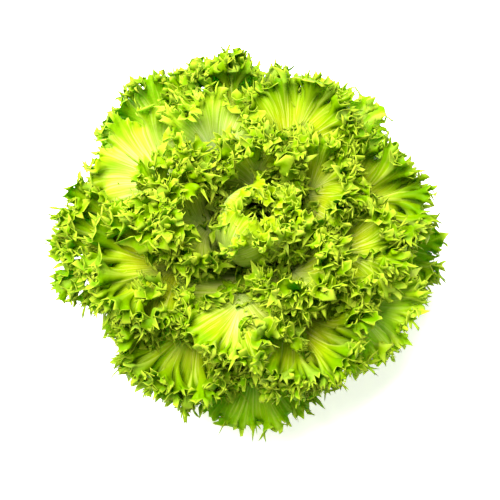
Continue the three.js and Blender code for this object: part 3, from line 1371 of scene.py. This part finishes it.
@dataclass(frozen=True)
class Stem:
    """The stub of stem under the head, cut flat, with the scars of the leaves that were pulled off it.

    Args:
        face: radius of the cut face.
        chamfer: between the face and the side.
        radius: where the lowest leaf is seated.
        foot: height of that seat.
        dome: height of the seats' dome above it.
        sides: facets round the stem.
        steps: rows of facets on the dome.
        rings: rows of facets on the cut face.
        uneven: how far the stem is out of round.
        ridge: height of the rings that the knife left on the cut face.
        ridges: number of those rings.
        plain_rings: rows of facets without them at the edge of the cut face.
        lumps: how many times each unevenness goes round the stem.
        scars: number of leaf scars.
        turn: angle from one scar to the next.
        scar_low: height of the lowest scar.
        scar_high: height of the highest scar.
        scar_size: half thickness, half width and half height of a scar.
        scar_scale: the least and the most of that size that a scar has.
        seed: of what is random on the stem.
    """

    face: float = 14.5 * MM
    chamfer: float = 0.5 * MM
    radius: float = 16 * MM
    foot: float = 8 * MM
    dome: float = 34 * MM
    sides: int = 96
    steps: int = 24
    rings: int = 16
    uneven: float = 0.5 * MM
    ridge: float = 0.25 * MM
    ridges: int = 5
    plain_rings: int = 3
    lumps: tuple[int, ...] = (2, 3, 5)
    scars: int = 11
    turn: float = math.radians(137.508)
    scar_low: float = 2.2 * MM
    scar_high: float = 7.5 * MM
    scar_size: tuple[float, float, float] = (0.8 * MM, 3.4 * MM, 0.9 * MM)
    scar_scale: tuple[float, float] = (0.7, 1.2)
    seed: int = 77

    def profile(self) -> np.ndarray:
        """The stem's outline, from the middle of the cut face to the top of the dome.

        Returns:
            Radius and height of each row.
        """
        on_face = np.linspace(0.0, self.face - self.chamfer, self.rings + 1)[1:]
        relief = self.ridge * (0.5 - 0.5 * np.cos(2 * np.pi * on_face / (self.face / self.ridges)))
        relief[-self.plain_rings :] = 0.0
        turn = np.linspace(0.0, np.pi / 2, self.steps + 1)[:-1]
        side = [(self.face, self.chamfer), ((self.face + self.radius) / 2, self.foot / 2)]
        dome = np.stack([self.radius * np.cos(turn), self.foot + self.dome * np.sin(turn)], axis=1)
        return np.concatenate([np.stack([on_face, relief], axis=1), side, dome])

    def body(self) -> bpy.types.Object:
        """Makes the closed stub itself.

        Returns:
            The linked stub, without a material.
        """
        dice = np.random.default_rng(self.seed)
        rows = self.profile()
        angle = 2 * np.pi * np.arange(self.sides) / self.sides
        wobble = sum(
            dice.uniform(-1, 1) * np.cos(lumps * angle + dice.uniform(0, 6)) / lumps
            for lumps in self.lumps
        )
        radius = rows[:, :1] + self.uneven * wobble[None, :] * (rows[:, :1] / self.radius) ** 2
        height = np.repeat(rows[:, 1:], self.sides, axis=1)
        skin = np.stack([radius * np.cos(angle), radius * np.sin(angle), height], axis=-1).reshape(-1, 3)
        vertices = np.concatenate([skin, [[0, 0, 0], [0, 0, self.foot + self.dome]]])
        index = np.arange(len(rows) * self.sides).reshape(len(rows), self.sides)
        after = np.roll(index, -1, axis=1)
        bottom, top = len(skin), len(skin) + 1
        walls = np.stack([index[:-1], after[:-1], after[1:], index[1:]], axis=-1).reshape(-1, 4)
        under = np.stack([np.full(self.sides, bottom), after[0], index[0], index[0]], axis=-1)
        over = np.stack([np.full(self.sides, top), index[-1], after[-1], after[-1]], axis=-1)
        on_face = (vertices[:, 2] < self.chamfer).astype(float)
        values = {"face": on_face, "scar": np.zeros(len(vertices))}
        return solid("stem_cut", vertices, np.concatenate([walls, under, over]), values)

    def scar_tree(self) -> bpy.types.NodeTree:
        """The nodes that set scars round the stem, one golden angle after another.

        Returns:
            The node group.
        """
        tree = bpy.data.node_groups.new("leaf_scars", "GeometryNodeTree")
        face = tree.interface
        kinds = {"Geometry": "Geometry", "Scars": "Int"}
        kinds |= dict.fromkeys(("Turn", "Radius", "Low", "High"), "Float")
        kinds |= {"Size": "Vector", "Seed": "Int", "Skin": "Material"}
        for name, kind in kinds.items():
            face.new_socket(name, in_out="INPUT", socket_type="NodeSocket" + kind)
        face.new_socket("Geometry", in_out="OUTPUT", socket_type="NodeSocketGeometry")
        g = Graph(tree)
        given = g.nodes.new("NodeGroupInput")
        values = {s.name: Socket(g, s) for s in given.outputs if s.name}
        index = g.node("GeometryNodeInputIndex")
        angle = index * values["Turn"]
        height = values["Low"] + (values["High"] - values["Low"]) * index / values["Scars"]
        place = g.node(
            "ShaderNodeCombineXYZ",
            None,
            {0: values["Radius"] * angle.cosine(), 1: values["Radius"] * angle.sine(), 2: height},
        )
        points = g.node("GeometryNodePoints", None, {"Count": values["Scars"], "Position": place})
        scar = g.node("GeometryNodeMeshIcoSphere", None, {"Radius": 1.0, "Subdivisions": 3})
        size = g.node(
            "FunctionNodeRandomValue",
            {"data_type": "FLOAT"},
            {2: self.scar_scale[0], 3: self.scar_scale[1], "ID": index, "Seed": values["Seed"]},
            output=1,
        )
        scale = g.node("ShaderNodeVectorMath", {"operation": "SCALE"}, {0: values["Size"], "Scale": size})
        facing = g.node("ShaderNodeCombineXYZ", None, {2: angle})
        placed = g.node(
            "GeometryNodeInstanceOnPoints",
            None,
            {"Points": points, "Instance": scar, "Rotation": facing, "Scale": scale},
        )
        real = g.node("GeometryNodeRealizeInstances", None, {"Geometry": placed})
        smooth = g.node("GeometryNodeSetShadeSmooth", None, {"Geometry": real, "Shade Smooth": True})
        marked = g.node(
            "GeometryNodeStoreNamedAttribute",
            {"data_type": "FLOAT", "domain": "POINT"},
            {"Geometry": smooth, "Name": "scar", "Value": 1.0},
        )
        joined = g.nodes.new("GeometryNodeJoinGeometry")
        g.links.new(values["Geometry"].socket, joined.inputs[0])
        g.links.new(marked.socket, joined.inputs[0])
        skinned = g.node(
            "GeometryNodeSetMaterial",
            None,
            {"Geometry": Socket(g, joined.outputs[0]), "Material": values["Skin"]},
        )
        g.links.new(skinned.socket, g.nodes.new("NodeGroupOutput").inputs[0])
        return tree

    def build(self, skin: bpy.types.Material) -> bpy.types.Object:
        """Makes the stub with its scars, as one plain mesh.

        Args:
            skin: the stem's material.

        Returns:
            The finished object.
        """
        made = self.body()
        tree = self.scar_tree()
        modifier = made.modifiers.new("scars", "NODES")
        modifier.node_group = tree
        given = {
            "Scars": self.scars,
            "Turn": self.turn,
            "Radius": (self.face + self.radius) / 2,
            "Low": self.scar_low,
            "High": self.scar_high,
            "Size": self.scar_size,
            "Seed": self.seed,
            "Skin": skin,
        }
        for item in tree.interface.items_tree:
            if item.name in given:
                modifier[item.identifier] = given[item.name]
        depsgraph = bpy.context.evaluated_depsgraph_get()
        plain = bpy.data.meshes.new_from_object(made.evaluated_get(depsgraph))
        made.modifiers.clear()
        made.data = plain
        return made


@dataclass
class Studio:
    """The plain pale floor, the soft lights and the camera above the head.

    Args:
        size: width of the head.
        centre: what the camera and the lamp are set from.
        lens: the camera's focal length, in millimetres.
        sensor: width of its sensor, in millimetres.
        filled: share of the view's width that the head fills.
        viewed_from: direction from the head to the camera.
        aim: how far the view's middle is from the head's.
        fill: colour of the light from all round.
        fill_strength: its strength.
        key_place: of the lamp, from the centre.
        key_size: width of the lamp.
        key_power: of the lamp.
        floor_half: half the floor's width.
        floor_white: how light the floor is.
        floor_glow: strength of its own light.
    """

    size: float
    centre: Vector
    lens: float = 85.0
    sensor: float = 36.0
    filled: float = 0.83
    viewed_from: tuple[float, float, float] = (-0.07, -0.17, 1.0)
    aim: tuple[float, float, float] = (-0.0035, -0.0072, 0.0)
    fill: Colour = (0.93, 1.0, 0.8)
    fill_strength: float = 0.62
    key_place: tuple[float, float, float] = (-0.45, 0.52, 1.1)
    key_size: float = 1.1
    key_power: float = 82
    floor_half: float = 12.0
    floor_white: float = 0.9
    floor_glow: float = 0.5

    def floor(self) -> None:
        """A white sheet far wider than the view."""
        half, white = self.floor_half, self.floor_white
        corners = [(-half, -half, 0), (half, -half, 0), (half, half, 0), (-half, half, 0)]
        mesh = bpy.data.meshes.new("floor")
        mesh.from_pydata(corners, [], [(0, 1, 2, 3)])
        made = bpy.data.objects.new("floor", mesh)
        bpy.context.scene.collection.objects.link(made)
        s = Shader("floor_white")
        body = s.node(
            "ShaderNodeBsdfPrincipled",
            None,
            {
                "Base Color": (white, white, white, 1),
                "Roughness": 0.9,
                "Emission Color": (1, 1, 1, 1),
                "Emission Strength": self.floor_glow,
            },
        )
        made.data.materials.append(s.surface(body))
        made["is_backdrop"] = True

    def key(self) -> None:
        """A large square lamp that faces the head."""
        lamp = bpy.data.lights.new("key", "AREA")
        lamp.size = self.key_size
        lamp.energy = self.key_power
        made = bpy.data.objects.new("key", lamp)
        place = self.centre + Vector(self.key_place)
        made.location = place
        made.rotation_euler = (self.centre - place).to_track_quat("-Z", "Y").to_euler()
        bpy.context.scene.collection.objects.link(made)

    def world(self) -> None:
        """Even light from all round."""
        world = bpy.data.worlds.new("studio")
        world.use_nodes = True
        sky = world.node_tree.nodes["Background"]
        sky.inputs["Color"].default_value = (*self.fill, 1)
        sky.inputs["Strength"].default_value = self.fill_strength
        bpy.context.scene.world = world

    def camera(self) -> None:
        """Nearly straight above the head, a little towards its front and left."""
        data = bpy.data.cameras.new("camera")
        data.lens = self.lens
        data.sensor_width = self.sensor
        made = bpy.data.objects.new("camera", data)
        distance = self.size / self.filled * data.lens / data.sensor_width
        away = Vector(self.viewed_from).normalized()
        made.location = self.centre + Vector(self.aim) + distance * away
        right = Vector((0.0, 1.0, 0.0)).cross(away).normalized()
        made.rotation_euler = Matrix((right, away.cross(right), away)).transposed().to_euler()
        bpy.context.scene.collection.objects.link(made)
        bpy.context.scene.camera = made

    def build(self) -> None:
        """Sets everything up."""
        self.floor()
        self.key()
        self.world()
        self.camera()
        bpy.context.scene.view_settings.view_transform = "Standard"


def finish(made: bpy.types.Object, node: str) -> int:
    """Hands a finished piece to the frame.

    Args:
        made: the piece.
        node: the CAD node that it stands for.

    Returns:
        Its number of triangles.
    """
    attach(made, BODY)
    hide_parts(node)
    triangles = sum(len(face.vertices) - 2 for face in made.data.polygons)
    LOG.info("%s: %d triangles", made.name, triangles)
    return triangles


def main() -> None:
    """Builds the head and its studio, and hands the pieces to the frame."""
    logging.basicConfig(level=logging.INFO, format="%(name)s: %(message)s")
    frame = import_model()
    cad_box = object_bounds()
    total = 0
    materials = {ring: skin.build() for ring, skin in SKINS.items()}
    painted_light = PAINTED_LIGHT_SKIN.build()
    for number, (name, node) in enumerate(sorted(frame["nodes"].items())):
        if name == STEM:
            stem = Stem()
            total += finish(stem.build(StemSkin().build(stem.face)), name)
            continue
        cad = CadLeaf.read(name, node)
        habit = CLOSED if cad.closed and cad.ring is Ring.MIDDLE else HABITS[cad.ring]
        nature = NATURES.get(name, Nature())
        leaf = LeafMesh(cad, habit, nature, seed=number)
        made = leaf.build()
        # Leaves that lie in shade get the brighter skin with painted light instead of their ring's.
        made.data.materials.append(painted_light if nature.painted_light else materials[cad.ring])
        total += finish(made, name)
    low, high = cad_box
    centre = Vector(((low.x + high.x) / 2, (low.y + high.y) / 2, MIDDLE_HEIGHT))
    Studio(size=high.x - low.x, centre=centre).build()
    LOG.info("triangles in all: %d", total)


if __name__ == "__main__":
    main()
